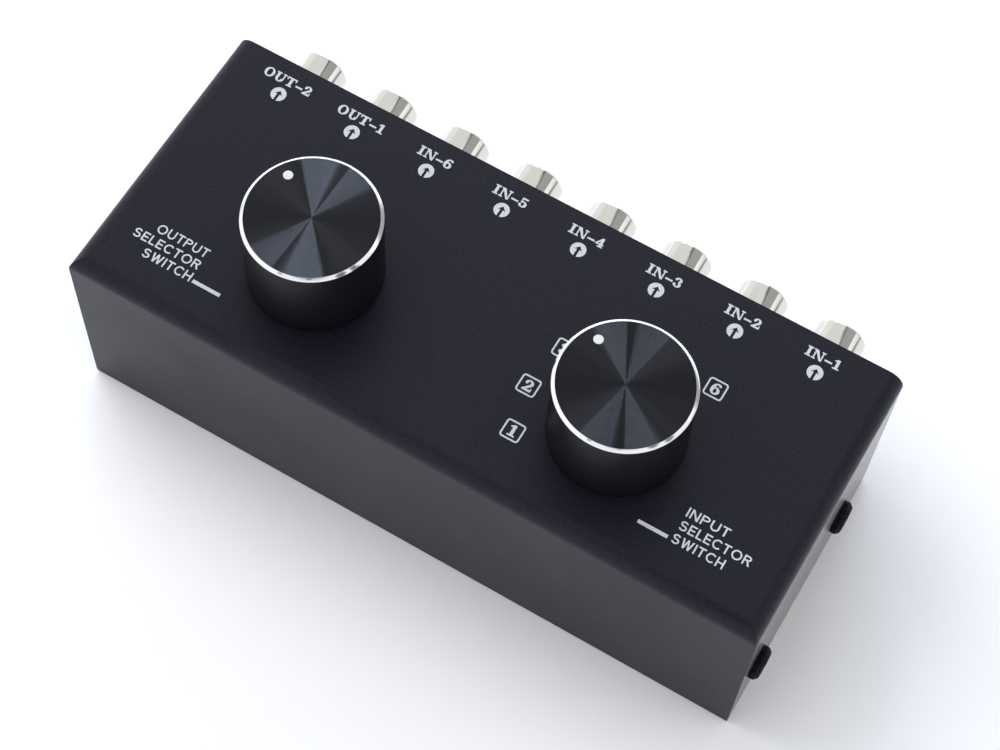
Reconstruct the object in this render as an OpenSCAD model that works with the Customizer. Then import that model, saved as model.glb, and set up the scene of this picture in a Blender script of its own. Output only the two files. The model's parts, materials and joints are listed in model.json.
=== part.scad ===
// Audio source selector: a folded case with two rotary switches on top and stacked phono jacks at the back.
// Origin at the middle of the underside, +X to the right, +Y to the back panel, +Z up.

/* [Case] */
// Depth of the case from the front face to the back panel
case_d = 49.7; // [46:0.1:80]
// Height of the case
case_h = 38.8; // [36:0.1:60]
// Thickness of the folded sheet
sheet = 1; // [0.8:0.1:1.4]
// Outer radius of the folds
fold_r = 2.7; // [2:0.1:5]
// Play between the cover and the tray inside it
case_play = 0.2; // [0.1:0.05:0.4]
// Height of the cover's rim above the tray's underside
rim_gap = 0.3; // [0.1:0.1:0.8]

/* [End screws] */
// Diameter of a screw's shank
screw_d = 2.9; // [2.4:0.1:3.4]
// Length of a screw's shank under its head
screw_len = 4; // [3:0.1:4.6]
// Diameter of a screw's head
screw_head_d = 5.8; // [5:0.1:7]
// Height of a screw's head
screw_head_h = 1.7; // [1:0.1:2]
// Height of the screws above the underside
screw_z = 14; // [7:0.5:18]
// Distance of the front screw from the front face
screw_front = 6.4; // [6:0.1:10]
// Distance between the two screws on an end
screw_pitch = 28.7; // [20:0.1:32]
// Reach of a tray ear past its screws
ear_margin = 4.5; // [3.5:0.1:5]

/* [Jacks] */
// Distance between neighbouring jacks in a row
jack_pitch = 14; // [13.4:0.1:18]
// Distance of the case's ends from the outer jacks
jack_margin = 12.2; // [11.6:0.1:25]
// Sideways shift of the jack row from the case's middle
row_shift = -0.6; // [-1.2:0.1:1.2]
// Distance between the upper and the lower jack of a stack
jack_stack = 14; // [12:0.1:16]
// Drop from the case's top to the upper jacks' axis
jack_drop = 10.6; // [8:0.1:13]
// Outer diameter of a jack's shell
shell_d = 8.4; // [7.8:0.1:9]
// Bore of a jack's shell
shell_bore = 7; // [6.4:0.1:7.4]
// Length of the shells out of the back panel
shell_out = 7.8; // [7.5:0.1:11]
// Chamfer on a shell's mouth
shell_chamfer = 0.6; // [0.2:0.1:0.7]
// Reach of the collar that centres a shell in the back panel
shell_collar = 0.4; // [0.3:0.05:0.6]
// Reach of a shell's seating flange past its hole in the back panel
shell_lip = 0.3; // [0.2:0.05:0.6]
// Thickness of a shell's seating flange
shell_flange_t = 1; // [0.6:0.1:1.5]
// Room around a shell's collar in the back panel
shell_room = 0.3; // [0.1:0.05:0.6]
// Setback of the insert's face from the shell's mouth
insert_setback = 0.6; // [0.3:0.1:1]
// Diameter of the guide hole in an insert's face
guide_d = 4.2; // [3.8:0.1:4.2]
// Thickness of an insert's face
guide_t = 1.6; // [1:0.1:2]
// Outer diameter of a contact sleeve
contact_d = 4.6; // [4.3:0.1:5]
// Bore of a contact sleeve
contact_bore = 3.2; // [3.1:0.05:3.25]
// Length of a contact sleeve
contact_len = 5; // [4:0.1:5.2]
// Depth of the plug pin's pocket in a jack block
pocket_depth = 7; // [5:0.5:9]
// Width of a jack block
block_w = 12.6; // [11.6:0.1:13.2]
// Depth of a jack block
block_d = 12; // [10:0.5:12.5]
// Diameter of a jack's solder pin
solder_pin_d = 1; // [0.8:0.1:1.2]
// Distance between the solder pins of a block
solder_pin_pitch = 6; // [4:0.5:8]

/* [Knobs] */
// Distance between the two knobs
knob_pitch = 54.1; // [45:0.1:60]
// Distance of the knobs' axes from the back panel
knob_back = 30.8; // [29:0.1:33]
// Diameter of a knob
knob_d = 21.9; // [20.5:0.1:26]
// Height of a knob's top above the case
knob_top = 16.4; // [14:0.1:20]
// Gap between a knob's skirt and the case
knob_gap = 0.6; // [0.4:0.1:1]
// Bright chamfer around a knob's top
knob_chamfer = 0.55; // [0.3:0.05:1.2]
// Thickness of metal over a knob's core
knob_web = 2; // [1:0.1:2.5]
// Diameter of the recess under a knob
knob_recess_d = 18; // [17:0.1:18.5]
// Diameter of a knob's plastic core
core_d = 10; // [9:0.1:12]
// Diameter of the pointer dot
pointer_d = 1.6; // [1:0.1:2.4]
// Depth of the pointer dot's paint
pointer_t = 0.3; // [0.1:0.1:0.6]
// Distance of the pointer dot from a knob's axis
pointer_r = 8.25; // [7:0.05:9]
// Resting angle of the pointers from straight back, anticlockwise
pointer_angle = 58; // [0:1:90]

/* [Rotary switches] */
// Diameter of a switch's housing
switch_d = 25; // [24.5:0.1:25.4]
// Wall of a switch's housing
switch_wall = 1.2; // [0.8:0.1:1.6]
// Depth of a switch's housing
switch_depth = 9; // [8.6:0.1:10]
// Thickness of a switch's mounting plate
plate_t = 1.5; // [1:0.1:2]
// Diameter of a threaded bushing
bush_d = 9; // [8.5:0.1:9.5]
// Height of a bushing above the case
bush_len = 6; // [4.5:0.1:6.5]
// Room around a bushing in the case
bush_room = 0.2; // [0.05:0.05:0.4]
// Diameter of a switch shaft
shaft_d = 6; // [5.5:0.1:6.4]
// Diameter of a shaft's tail in the wafer
tail_d = 4; // [3:0.1:5]
// Running clearance around a shaft
shaft_play = 0.03; // [0.02:0.01:0.08]
// Depth of the flat on a shaft's end
shaft_flat = 1.5; // [0.8:0.1:2]
// Width across a nut's flats
nut_af = 13; // [12:0.1:14]
// Thickness of a nut
nut_t = 2; // [1.5:0.1:2.5]
// Diameter of a toothed washer
washer_d = 14; // [12.5:0.1:15]
// Thickness of a toothed washer
washer_t = 0.6; // [0.4:0.1:0.9]
// Diameter of an index wheel
index_d = 14; // [12:0.1:14.6]
// Thickness of an index wheel
index_t = 3; // [2:0.1:3.2]
// Radius of an index notch
notch_r = 1.2; // [0.8:0.1:1.4]
// Thickness of an index leaf spring
leaf_t = 0.4; // [0.3:0.1:0.6]
// Diameter of a contact rotor
rotor_d = 16; // [15:0.1:17]
// Thickness of a contact rotor
rotor_t = 3; // [2:0.1:3.2]
// Reach of the stop lug past a rotor's rim
lug_reach = 2.2; // [1.5:0.1:2.3]
// Half the angle that a stop lug takes up
lug_half_angle = 8; // [5:1:12]
// Thickness of a wiper
wiper_t = 0.5; // [0.3:0.1:0.6]
// Thickness of a stator wafer
wafer_t = 1.6; // [1.2:0.1:2]
// Distance of the terminals from a switch's axis
terminal_r = 6.2; // [5.6:0.1:6.8]
// Diameter of a terminal
terminal_d = 1.1; // [0.8:0.1:1.3]
// Diameter of a terminal's contact head
terminal_head_d = 2; // [1.5:0.1:2.4]
// Height of a terminal's contact head
terminal_head_h = 0.6; // [0.4:0.1:0.8]

/* [Boards] */
// Thickness of the boards
board_t = 1.6; // [1:0.1:2]
// Clear height under the jack board
board_lift = 3; // [2.5:0.1:4]
// Room between the jack board and the case around it
board_room = 1; // [0.5:0.1:1.5]
// Distance of the standoffs from the jack board's edges
standoff_inset = 4; // [3.5:0.1:6]
// Diameter of a standoff
standoff_d = 5; // [4.4:0.1:6]
// Diameter of a board screw's shank
board_screw_d = 2.4; // [2:0.1:3]
// Diameter of a board screw's head
board_screw_head_d = 4.6; // [4:0.1:5.5]
// Height of a board screw's head
board_screw_head_h = 1.6; // [1:0.1:2]
// Side of a switch board
switch_board_w = 27; // [26:0.1:28]
// Gap between a wafer and its switch board
switch_board_gap = 0.5; // [0.2:0.1:1]
// Length of a ribbon header
header_w = 16; // [15:0.5:18]
// Depth of a ribbon header
header_d = 5; // [4:0.1:5.4]
// Height of a ribbon header
header_h = 4; // [3:0.1:4.5]
// Number of wires in a ribbon
ribbon_wires = 9; // [4:1:10]
// Distance between the wires of a ribbon
wire_pitch = 1.27; // [1:0.01:1.4]
// Diameter of a ribbon wire
wire_d = 1.32; // [1.2:0.01:1.5]

/* [Hidden] */
$fn = 64;
eps = 0.01;
// Radial clearance of pieces that are pressed or screwed together
fit = 0.03;
// Height of the running gaps inside a switch
run_gap = 0.1;
// Room around a screw in the piece that it clamps
screw_room = 0.25;
// Gap past the end of a shaft, a bushing or a board screw
end_gap = 0.5;
// Length of solder pins and terminals past their boards
pin_tip = 1.2;
// Room around a plug's pin in a jack block's pocket
pocket_room = 0.15;
// Distance of a ribbon header from its switch board's edge
header_edge = 1;
// Gaps around a rotor's rim and at the ends of its lug's travel
rim_room = 0.4;
stop_angle = 2;
// Angle from one index position to the next
step_angle = 30;
// Travel from rest, clockwise and anticlockwise, of the output and input switches
output_travel = [-30, 0];
input_travel = [-90, 60];

CHANNELS = ["out_2", "out_1", "in_6", "in_5", "in_4", "in_3", "in_2", "in_1"];
SWITCH_NODES = [
    "knob", "knob_core", "pointer", "shaft", "bushing", "nut", "washer", "housing", "index_wheel",
    "index_leaf", "rotor", "wipers", "wafer", "terminals", "switch_board", "ribbon"
];

// Case planes
case_w = (len(CHANNELS) - 1) * jack_pitch + 2 * jack_margin;
front_y = -case_d / 2;
back_y = case_d / 2;
panel_y = back_y - sheet;
inner_top = case_h - sheet;
tray_w = case_w - 2 * (sheet + case_play);
ear_front = front_y + screw_front - ear_margin;
ear_back = front_y + screw_front + screw_pitch + ear_margin;
screw_ys = [front_y + screw_front, front_y + screw_front + screw_pitch];

// Jack places
upper_z = case_h - jack_drop;
lower_z = upper_z - jack_stack;
collar_d = shell_d + 2 * shell_collar;
panel_hole_d = collar_d + 2 * shell_room;
flange_d = panel_hole_d + 2 * shell_lip;
block_face_y = panel_y - shell_flange_t;
block_top = upper_z + block_w / 2;
mouth_y = back_y + shell_out;
insert_y = mouth_y - insert_setback;
contact_y = insert_y - guide_t;
function jack_x(i) = row_shift + (i - (len(CHANNELS) - 1) / 2) * jack_pitch;

// Board heights
board_z = sheet + board_lift;
board_top = board_z + board_t;
board_w = tray_w - 2 * (sheet + board_room);
board_back = block_face_y - board_room / 2;
standoff_x = board_w / 2 - standoff_inset;

// Knob and switch heights, from the top down
knob_y = back_y - knob_back;
knob_top_z = case_h + knob_top;
bush_top = case_h + bush_len;
core_low = bush_top + end_gap;
core_top = knob_top_z - knob_web;
shaft_top = core_top - end_gap;
plate_low = inner_top - plate_t;
wheel_top = plate_low - 4 * run_gap;
wafer_top = plate_low - switch_depth;
wiper_low = wafer_top + terminal_head_h + run_gap;
rotor_low = wiper_low + wiper_t;
switch_board_top = wafer_top - wafer_t - switch_board_gap;
switch_board_low = switch_board_top - board_t;
terminal_low = switch_board_low - pin_tip;
ribbon_top = switch_board_low - header_h;
ribbon_low = board_top + header_h;
header_back = (switch_board_w - header_d) / 2 - header_edge;
housing_r = switch_d / 2 - switch_wall;
index_count = 360 / step_angle;
board_front = knob_y - header_back - header_d / 2 - header_edge;
standoff_ys = [board_front + standoff_inset, block_face_y - block_d - standoff_inset];
function knob_x(side) = side * knob_pitch / 2;

// Shared shapes

// Block with its upper corners rounded, seen from the front
module end_profile(w, top, r, low) {
    translate([-w / 2, low]) square([w, top - r - low]);
    translate([r - w / 2, low]) square([w - 2 * r, top - low]);
    for (s = [-1, 1]) translate([s * (w / 2 - r), top - r]) circle(r);
}

// Block with one upper corner rounded, at its front
module front_profile(front, back, top, r, low) {
    translate([front, low]) square([back - front, top - r - low]);
    translate([front + r, low]) square([back - front - r, top - low]);
    translate([front + r, top - r]) circle(r);
}

// Extrusion of a front-view outline from one depth to another
module along_y(y0, y1) {
    translate([0, y1, 0]) rotate([90, 0, 0]) linear_extrude(y1 - y0) children();
}

// Extrusion of a side-view outline across a width
module along_x(w) {
    translate([-w / 2, 0, 0]) rotate([90, 0, 90]) linear_extrude(w) children();
}

// Solid of the folded hood, each face moved in by the inset
module hood(inset, back, low) {
    intersection() {
        along_y(front_y - 1, back) end_profile(case_w - 2 * inset, case_h - inset, fold_r - inset, low);
        along_x(case_w + 2) front_profile(front_y + inset, back, case_h - inset, fold_r - inset, low);
    }
}

// Turns a shape made along +Z to point out of the back panel
module at_jack(x, z) {
    translate([x, 0, z]) rotate([-90, 0, 0]) children();
}

module at_end_screws() {
    for (s = [-1, 1], y = screw_ys) translate([s * case_w / 2, y, screw_z]) rotate([0, s * 90, 0]) children();
}

module at_standoffs() {
    for (s = [-1, 1], y = standoff_ys) translate([s * standoff_x, y, 0]) children();
}

module at_switch(side) {
    translate([knob_x(side), knob_y, 0]) children();
}

module at_terminals() {
    for (i = [0 : index_count - 1]) rotate(i * step_angle) translate([terminal_r, 0, 0]) children();
}

module tube(r_out, r_in, z0, z1) {
    translate([0, 0, z0]) linear_extrude(z1 - z0) difference() {
        circle(r_out);
        circle(r_in);
    }
}

// Flat pie slice between two angles
module slice(a0, a1, r) {
    steps = 12;
    angles = [for (i = [0 : steps]) a0 + (a1 - a0) * i / steps];
    polygon(concat([[0, 0]], [for (a = angles) r * [cos(a), sin(a)]]));
}

// Flat ring between two angles
module ring_slice(r_in, r_out, a0, a1) {
    intersection() {
        difference() {
            circle(r_out);
            circle(r_in);
        }
        slice(a0, a1, 2 * r_out);
    }
}

// Case

module top_cover() {
    color([0.13, 0.13, 0.14]) difference() {
        hood(0, back_y, rim_gap);
        hood(sheet, back_y + 1, -1);
        for (side = [-1, 1]) at_switch(side) cylinder(r = bush_d / 2 + bush_room, h = case_h + 1);
        at_end_screws() translate([0, 0, -2 * sheet]) cylinder(d = screw_d + 2 * screw_room, h = 3 * sheet);
    }
}

module base_tray() {
    tray_front = front_y + sheet + case_play;
    tray_top = inner_top - case_play;
    color([0.13, 0.13, 0.14]) difference() {
        union() {
            along_x(tray_w) rotate(180) difference() {
                front_profile(-back_y, -tray_front, 0, fold_r, -tray_top);
                front_profile(sheet - back_y, 1 - tray_front, -sheet, fold_r - sheet, -tray_top - 1);
            }
            for (s = [-1, 1]) translate([s * (tray_w - sheet) / 2 - sheet / 2, ear_front, 0])
                cube([sheet, ear_back - ear_front, screw_z + ear_margin]);
        }
        for (i = [0 : len(CHANNELS) - 1], z = [upper_z, lower_z]) at_jack(jack_x(i), z)
            translate([0, 0, panel_y - 1]) cylinder(d = panel_hole_d, h = sheet + 2);
        at_end_screws() translate([0, 0, -4 * sheet]) cylinder(d = screw_d + 2 * fit, h = 4 * sheet);
    }
}

module end_screws() {
    slot_w = screw_head_d / 6;
    slot_l = screw_head_d * 0.6;
    rim_h = screw_head_h * 0.55;
    tip = 0.3;
    color([0.08, 0.08, 0.09]) at_end_screws() difference() {
        rotate_extrude() polygon([
            [0, -screw_len], [screw_d / 2 - tip, -screw_len], [screw_d / 2, tip - screw_len],
            [screw_d / 2, 0], [screw_head_d / 2, 0], [screw_head_d / 2, rim_h],
            [screw_head_d * 0.4, screw_head_h * 0.88], [screw_head_d * 0.25, screw_head_h], [0, screw_head_h]
        ]);
        for (a = [0, 90]) rotate(a) translate([-slot_l / 2, -slot_w / 2, screw_head_h * 0.4])
            cube([slot_l, slot_w, screw_head_h]);
    }
}

// Jacks

module jack_block(i) {
    color([0.1, 0.1, 0.1]) difference() {
        translate([jack_x(i) - block_w / 2, block_face_y - block_d, board_top])
            cube([block_w, block_d, block_top - board_top]);
        for (z = [upper_z, lower_z]) at_jack(jack_x(i), z)
            translate([0, 0, block_face_y - pocket_depth])
                cylinder(d = guide_d + 2 * pocket_room, h = pocket_depth + 1);
    }
}

module jack_shells(i) {
    chamfer = min(shell_chamfer, (shell_d - shell_bore) / 2 - run_gap);
    color([0.75, 0.74, 0.7]) for (z = [upper_z, lower_z]) at_jack(jack_x(i), z) rotate_extrude() polygon([
        [shell_bore / 2, block_face_y], [flange_d / 2, block_face_y], [flange_d / 2, panel_y],
        [collar_d / 2, panel_y], [collar_d / 2, back_y], [shell_d / 2, back_y],
        [shell_d / 2, mouth_y - chamfer], [shell_d / 2 - chamfer, mouth_y], [shell_bore / 2, mouth_y]
    ]);
}

module inserts(z) {
    r = shell_bore / 2 - fit;
    pocket_r = contact_d / 2 + fit;
    for (i = [0 : len(CHANNELS) - 1]) at_jack(jack_x(i), z) rotate_extrude() polygon([
        [pocket_r, block_face_y], [r, block_face_y], [r, insert_y], [guide_d / 2, insert_y],
        [guide_d / 2, contact_y], [pocket_r, contact_y]
    ]);
}

module upper_inserts() {
    color([0.9, 0.9, 0.88]) inserts(upper_z);
}

module lower_inserts() {
    color([0.7, 0.08, 0.08]) inserts(lower_z);
}

module jack_contacts() {
    color([0.8, 0.7, 0.4]) for (i = [0 : len(CHANNELS) - 1], z = [upper_z, lower_z])
        at_jack(jack_x(i), z) tube(contact_d / 2, contact_bore / 2, contact_y - contact_len, contact_y);
}

module at_jack_pins() {
    for (i = [0 : len(CHANNELS) - 1], s = [-1, 1])
        translate([jack_x(i) + s * solder_pin_pitch / 2, block_face_y - block_d / 2, 0]) children();
}

module jack_pins() {
    color([0.8, 0.8, 0.78]) at_jack_pins() translate([0, 0, board_z - pin_tip])
        cylinder(d = solder_pin_d, h = board_t + pin_tip);
}

// Boards

module jack_board() {
    color([0.1, 0.35, 0.2]) difference() {
        translate([-board_w / 2, board_front, board_z]) cube([board_w, board_back - board_front, board_t]);
        at_standoffs() translate([0, 0, board_z - 1])
            cylinder(d = board_screw_d + screw_room, h = board_t + 2);
        at_jack_pins() translate([0, 0, board_z - 1])
            cylinder(d = solder_pin_d + 2 * fit, h = board_t + 2);
    }
}

module board_standoffs() {
    color([0.8, 0.7, 0.4]) at_standoffs() tube(standoff_d / 2, board_screw_d / 2 + fit, sheet, board_z);
}

module board_screws() {
    reach = board_t + board_lift - end_gap;
    color([0.75, 0.75, 0.75]) at_standoffs() translate([0, 0, board_top]) {
        cylinder(d = board_screw_head_d, h = board_screw_head_h);
        translate([0, 0, -reach]) cylinder(d = board_screw_d, h = reach + eps);
    }
}

module ribbon_headers() {
    color([0.85, 0.85, 0.82]) for (side = [-1, 1], z = [board_top, ribbon_top]) at_switch(side)
        translate([-header_w / 2, -header_back - header_d / 2, z]) cube([header_w, header_d, header_h]);
}

// Knobs

module knob(side) {
    low = case_h + knob_gap;
    color([0.11, 0.11, 0.12]) at_switch(side) difference() {
        rotate_extrude() polygon([
            [knob_recess_d / 2, low], [knob_d / 2, low], [knob_d / 2, knob_top_z - knob_chamfer],
            [knob_d / 2 - knob_chamfer, knob_top_z], [0, knob_top_z], [0, core_top],
            [core_d / 2 + fit, core_top], [core_d / 2 + fit, core_low], [knob_recess_d / 2, core_low]
        ]);
        rotate(pointer_angle) translate([0, pointer_r, knob_top_z - pointer_t])
            cylinder(d = pointer_d + 2 * fit, h = pointer_t + 1);
    }
}

// Round outline with a flat on the side away from the pointer
module flatted(r, flat_y) {
    difference() {
        circle(r);
        translate([-r, flat_y - 2 * r]) square(2 * r);
    }
}

module knob_core(side) {
    color([0.2, 0.2, 0.2]) at_switch(side) rotate(pointer_angle) difference() {
        translate([0, 0, core_low]) cylinder(d = core_d, h = core_top - core_low);
        translate([0, 0, core_low - 1]) linear_extrude(shaft_top + fit - core_low + 1)
            flatted(shaft_d / 2 + fit, shaft_flat - shaft_d / 2 - fit);
    }
}

module pointer(side) {
    color("white") at_switch(side) rotate(pointer_angle) translate([0, pointer_r, knob_top_z - pointer_t])
        cylinder(d = pointer_d, h = pointer_t);
}

// Rotary switches

module shaft(side) {
    shoulder = wafer_top + run_gap;
    flat_low = core_low - end_gap / 2;
    color([0.72, 0.72, 0.7]) at_switch(side) rotate(pointer_angle) {
        translate([0, 0, wafer_top - wafer_t]) cylinder(d = tail_d, h = wafer_t + run_gap);
        translate([0, 0, shoulder]) cylinder(d = shaft_d, h = flat_low - shoulder);
        translate([0, 0, flat_low]) linear_extrude(shaft_top - flat_low)
            flatted(shaft_d / 2, shaft_flat - shaft_d / 2);
    }
}

module bushing(side) {
    color([0.7, 0.68, 0.62]) at_switch(side) {
        tube(switch_d / 2, shaft_d / 2 + shaft_play, plate_low, inner_top);
        tube(bush_d / 2, shaft_d / 2 + shaft_play, inner_top, bush_top);
    }
}

module nut(side) {
    color([0.75, 0.74, 0.7]) at_switch(side) translate([0, 0, case_h + washer_t])
        linear_extrude(nut_t) difference() {
            circle(d = nut_af / cos(30), $fn = 6);
            circle(d = bush_d + 2 * fit);
        }
}

module washer(side) {
    teeth = 16;
    color([0.75, 0.74, 0.7]) at_switch(side) translate([0, 0, case_h])
        linear_extrude(washer_t) difference() {
            circle(d = washer_d);
            circle(d = bush_d + 2 * bush_room);
            for (i = [0 : teeth - 1]) rotate(i * 360 / teeth) translate([washer_d / 2, 0])
                circle(washer_d / 20);
        }
}

// Housing with an inner rib that stops the rotor's lug at both ends of its travel
module housing(side, travel) {
    free_low = travel[0] - lug_half_angle - stop_angle;
    free_high = travel[1] + lug_half_angle + stop_angle;
    color([0.15, 0.15, 0.16]) at_switch(side) {
        tube(switch_d / 2, housing_r, wafer_top, plate_low);
        rotate(pointer_angle) translate([0, 0, rotor_low]) linear_extrude(rotor_t)
            ring_slice(rotor_d / 2 + rim_room, housing_r + eps, free_high, free_low + 360);
    }
}

module index_wheel(side) {
    color([0.85, 0.85, 0.8]) at_switch(side) rotate(pointer_angle) translate([0, 0, wheel_top - index_t])
        linear_extrude(index_t) difference() {
            circle(d = index_d);
            circle(d = shaft_d + 2 * fit);
            for (i = [0 : index_count - 1]) rotate(i * step_angle) translate([index_d / 2 + notch_r / 3, 0])
                circle(notch_r);
        }
}

// Spring strip around the wheel, its bump over a notch and its ends footed on the housing
module index_leaf(side) {
    bump_r = notch_r * 0.9;
    leaf_r = index_d / 2 + run_gap + bump_r;
    foot_w = 1;
    half_angle = 55;
    color([0.8, 0.75, 0.6]) at_switch(side) rotate(pointer_angle) translate([0, 0, wheel_top - index_t])
        linear_extrude(index_t) {
            ring_slice(leaf_r, leaf_r + leaf_t, -half_angle, half_angle);
            difference() {
                translate([leaf_r, 0]) circle(bump_r);
                difference() {
                    circle(2 * leaf_r);
                    circle(leaf_r + leaf_t / 2);
                }
            }
            for (s = [-1, 1]) rotate(s * half_angle) translate([leaf_r, -foot_w / 2])
                square([housing_r - leaf_r - 2 * fit, foot_w]);
        }
}

module rotor(side) {
    color([0.85, 0.82, 0.75]) at_switch(side) rotate(pointer_angle) translate([0, 0, rotor_low])
        linear_extrude(rotor_t) difference() {
            union() {
                circle(d = rotor_d);
                ring_slice(rotor_d / 4, rotor_d / 2 + lug_reach, -lug_half_angle, lug_half_angle);
            }
            circle(d = shaft_d + 2 * fit);
        }
}

module wipers(side) {
    half_angle = 12;
    half_w = 1.2;
    color([0.8, 0.55, 0.3]) at_switch(side) rotate(pointer_angle) translate([0, 0, wiper_low])
        for (a = [0, 180]) rotate(a) linear_extrude(wiper_t)
            ring_slice(terminal_r - half_w, terminal_r + half_w, -half_angle, half_angle);
}

module wafer(side) {
    color([0.5, 0.35, 0.2]) at_switch(side) rotate(pointer_angle) difference() {
        translate([0, 0, wafer_top - wafer_t]) cylinder(d = switch_d, h = wafer_t);
        translate([0, 0, wafer_top - wafer_t - 1]) cylinder(d = tail_d + 2 * shaft_play, h = wafer_t + 2);
        at_terminals() translate([0, 0, wafer_top - wafer_t - 1])
            cylinder(d = terminal_d + 2 * fit, h = wafer_t + 2);
    }
}

module terminals(side) {
    color([0.8, 0.75, 0.6]) at_switch(side) rotate(pointer_angle) at_terminals() {
        translate([0, 0, wafer_top]) cylinder(d = terminal_head_d, h = terminal_head_h);
        translate([0, 0, terminal_low]) cylinder(d = terminal_d, h = wafer_top - terminal_low + eps);
    }
}

module switch_board(side) {
    color([0.1, 0.35, 0.2]) at_switch(side) difference() {
        translate([-switch_board_w / 2, -switch_board_w / 2, switch_board_low])
            cube([switch_board_w, switch_board_w, board_t]);
        rotate(pointer_angle) at_terminals() translate([0, 0, switch_board_low - 1])
            cylinder(d = terminal_d + 2 * fit, h = board_t + 2);
    }
}

module ribbon(side) {
    color([0.6, 0.6, 0.62]) at_switch(side) translate([0, -header_back, ribbon_low])
        linear_extrude(ribbon_top - ribbon_low)
            for (i = [0 : ribbon_wires - 1])
                translate([(i - (ribbon_wires - 1) / 2) * wire_pitch, 0]) circle(d = wire_d);
}

// Nodes

module switch_node(prefix, side, travel) {
    knob(side);
    knob_core(side);
    pointer(side);
    shaft(side);
    bushing(side);
    nut(side);
    washer(side);
    housing(side, travel);
    index_wheel(side);
    index_leaf(side);
    rotor(side);
    wipers(side);
    wafer(side);
    terminals(side);
    switch_board(side);
    ribbon(side);
}

top_cover();
base_tray();
end_screws();
for (i = [0 : len(CHANNELS) - 1]) {
    jack_block(i);
    jack_shells(i);
}
upper_inserts();
lower_inserts();
jack_contacts();
jack_pins();
jack_board();
board_standoffs();
board_screws();
ribbon_headers();
switch_node("output_", -1, output_travel);
switch_node("input_", 1, input_travel);
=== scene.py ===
import json
import math

import bmesh
import bpy
from mathutils import Matrix, Vector
from mathutils.geometry import tessellate_polygon


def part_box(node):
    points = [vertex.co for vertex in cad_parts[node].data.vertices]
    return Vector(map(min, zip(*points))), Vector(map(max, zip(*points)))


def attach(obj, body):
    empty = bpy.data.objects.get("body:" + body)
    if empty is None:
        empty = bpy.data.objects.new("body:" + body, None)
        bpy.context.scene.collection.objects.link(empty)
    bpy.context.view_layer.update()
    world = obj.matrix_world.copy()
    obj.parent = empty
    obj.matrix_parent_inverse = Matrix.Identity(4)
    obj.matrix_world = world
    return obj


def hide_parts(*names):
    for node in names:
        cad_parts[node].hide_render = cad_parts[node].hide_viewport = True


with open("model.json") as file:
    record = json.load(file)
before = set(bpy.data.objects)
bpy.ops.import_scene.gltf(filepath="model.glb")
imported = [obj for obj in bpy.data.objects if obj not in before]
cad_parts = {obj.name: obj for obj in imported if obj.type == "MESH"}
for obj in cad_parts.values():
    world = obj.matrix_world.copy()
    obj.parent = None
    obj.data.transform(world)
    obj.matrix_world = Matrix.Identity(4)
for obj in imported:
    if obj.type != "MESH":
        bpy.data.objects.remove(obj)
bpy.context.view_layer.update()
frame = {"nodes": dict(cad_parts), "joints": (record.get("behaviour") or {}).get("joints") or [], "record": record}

mm = 0.001
record = frame["record"]
scene = bpy.context.scene
scene.view_settings.view_transform = "Standard"
mounts = {m["name"]: m for m in record["mounts"]}
slotOf = {s["node"]: s["material_slot"] for s in record["subparts"]}
coverLow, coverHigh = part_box("top_cover")
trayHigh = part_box("base_tray")[1]
caseTop = coverHigh.z


# camera, at the photograph's angle

shot = {
    "stands": (76.73, -147.3, 358.95),  # mm
    "looksAt": (6.98, -6.95, 38.8),     # mm, on the cover's top
    "roll": 4.216,                      # degrees
    "lens": 83.353,
}


def placeCamera(spec):
    eye = Vector(spec["stands"]) * mm
    forward = (Vector(spec["looksAt"]) * mm - eye).normalized()
    level = forward.cross(Vector((0, 0, 1))).normalized()
    turn = Matrix.Rotation(-math.radians(spec["roll"]), 3, forward)
    right = turn @ level
    axes = Matrix((right, right.cross(forward), -forward)).transposed()
    data = bpy.data.cameras.new("camera")
    data.lens = spec["lens"]
    data.sensor_fit = "HORIZONTAL"
    camera = bpy.data.objects.new("camera", data)
    camera.matrix_world = Matrix.Translation(eye) @ axes.to_4x4()
    scene.collection.objects.link(camera)
    scene.camera = camera


placeCamera(shot)
print("camera placed")


# helpers for node trees: a socket takes a value, or a link when it is given another socket

def setSockets(tree, node, sockets):
    for socket, value in sockets.items():
        if isinstance(value, bpy.types.NodeSocket):
            tree.links.new(value, node.inputs[socket])
        else:
            node.inputs[socket].default_value = value


def addNode(tree, kind, sockets=None, **settings):
    node = tree.nodes.new(kind)
    for key, value in settings.items():
        setattr(node, key, value)
    setSockets(tree, node, sockets or {})
    return node


def scalar(tree, operation, *values):
    node = addNode(tree, "ShaderNodeMath", dict(enumerate(values)), operation=operation)
    return node.outputs["Value"]


def vector(tree, operation, *values, result="Vector", **named):
    sockets = {**dict(enumerate(values)), **named}
    return addNode(tree, "ShaderNodeVectorMath", sockets, operation=operation).outputs[result]


def ownPlace(tree):
    return addNode(tree, "ShaderNodeTexCoord").outputs["Object"]


def newGroup(name, kind, inputs, outputs):
    tree = bpy.data.node_groups.new(name, kind)
    for label, socket, value in inputs:
        item = tree.interface.new_socket(label, in_out="INPUT", socket_type="NodeSocket" + socket)
        if value is not None:
            item.default_value = value
    for label, socket in outputs:
        tree.interface.new_socket(label, in_out="OUTPUT", socket_type="NodeSocket" + socket)
    return tree, addNode(tree, "NodeGroupInput").outputs, addNode(tree, "NodeGroupOutput")


# helpers for meshes and pieces

def linkPiece(name, mesh):
    piece = bpy.data.objects.new(name, mesh)
    scene.collection.objects.link(piece)
    return piece


def meshOf(bm, name, sharpAngle=35):
    mesh = bpy.data.meshes.new(name)
    bm.to_mesh(mesh)
    bm.free()
    mesh.shade_smooth()
    mesh.set_sharp_from_angle(angle=math.radians(sharpAngle))
    return mesh


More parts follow.
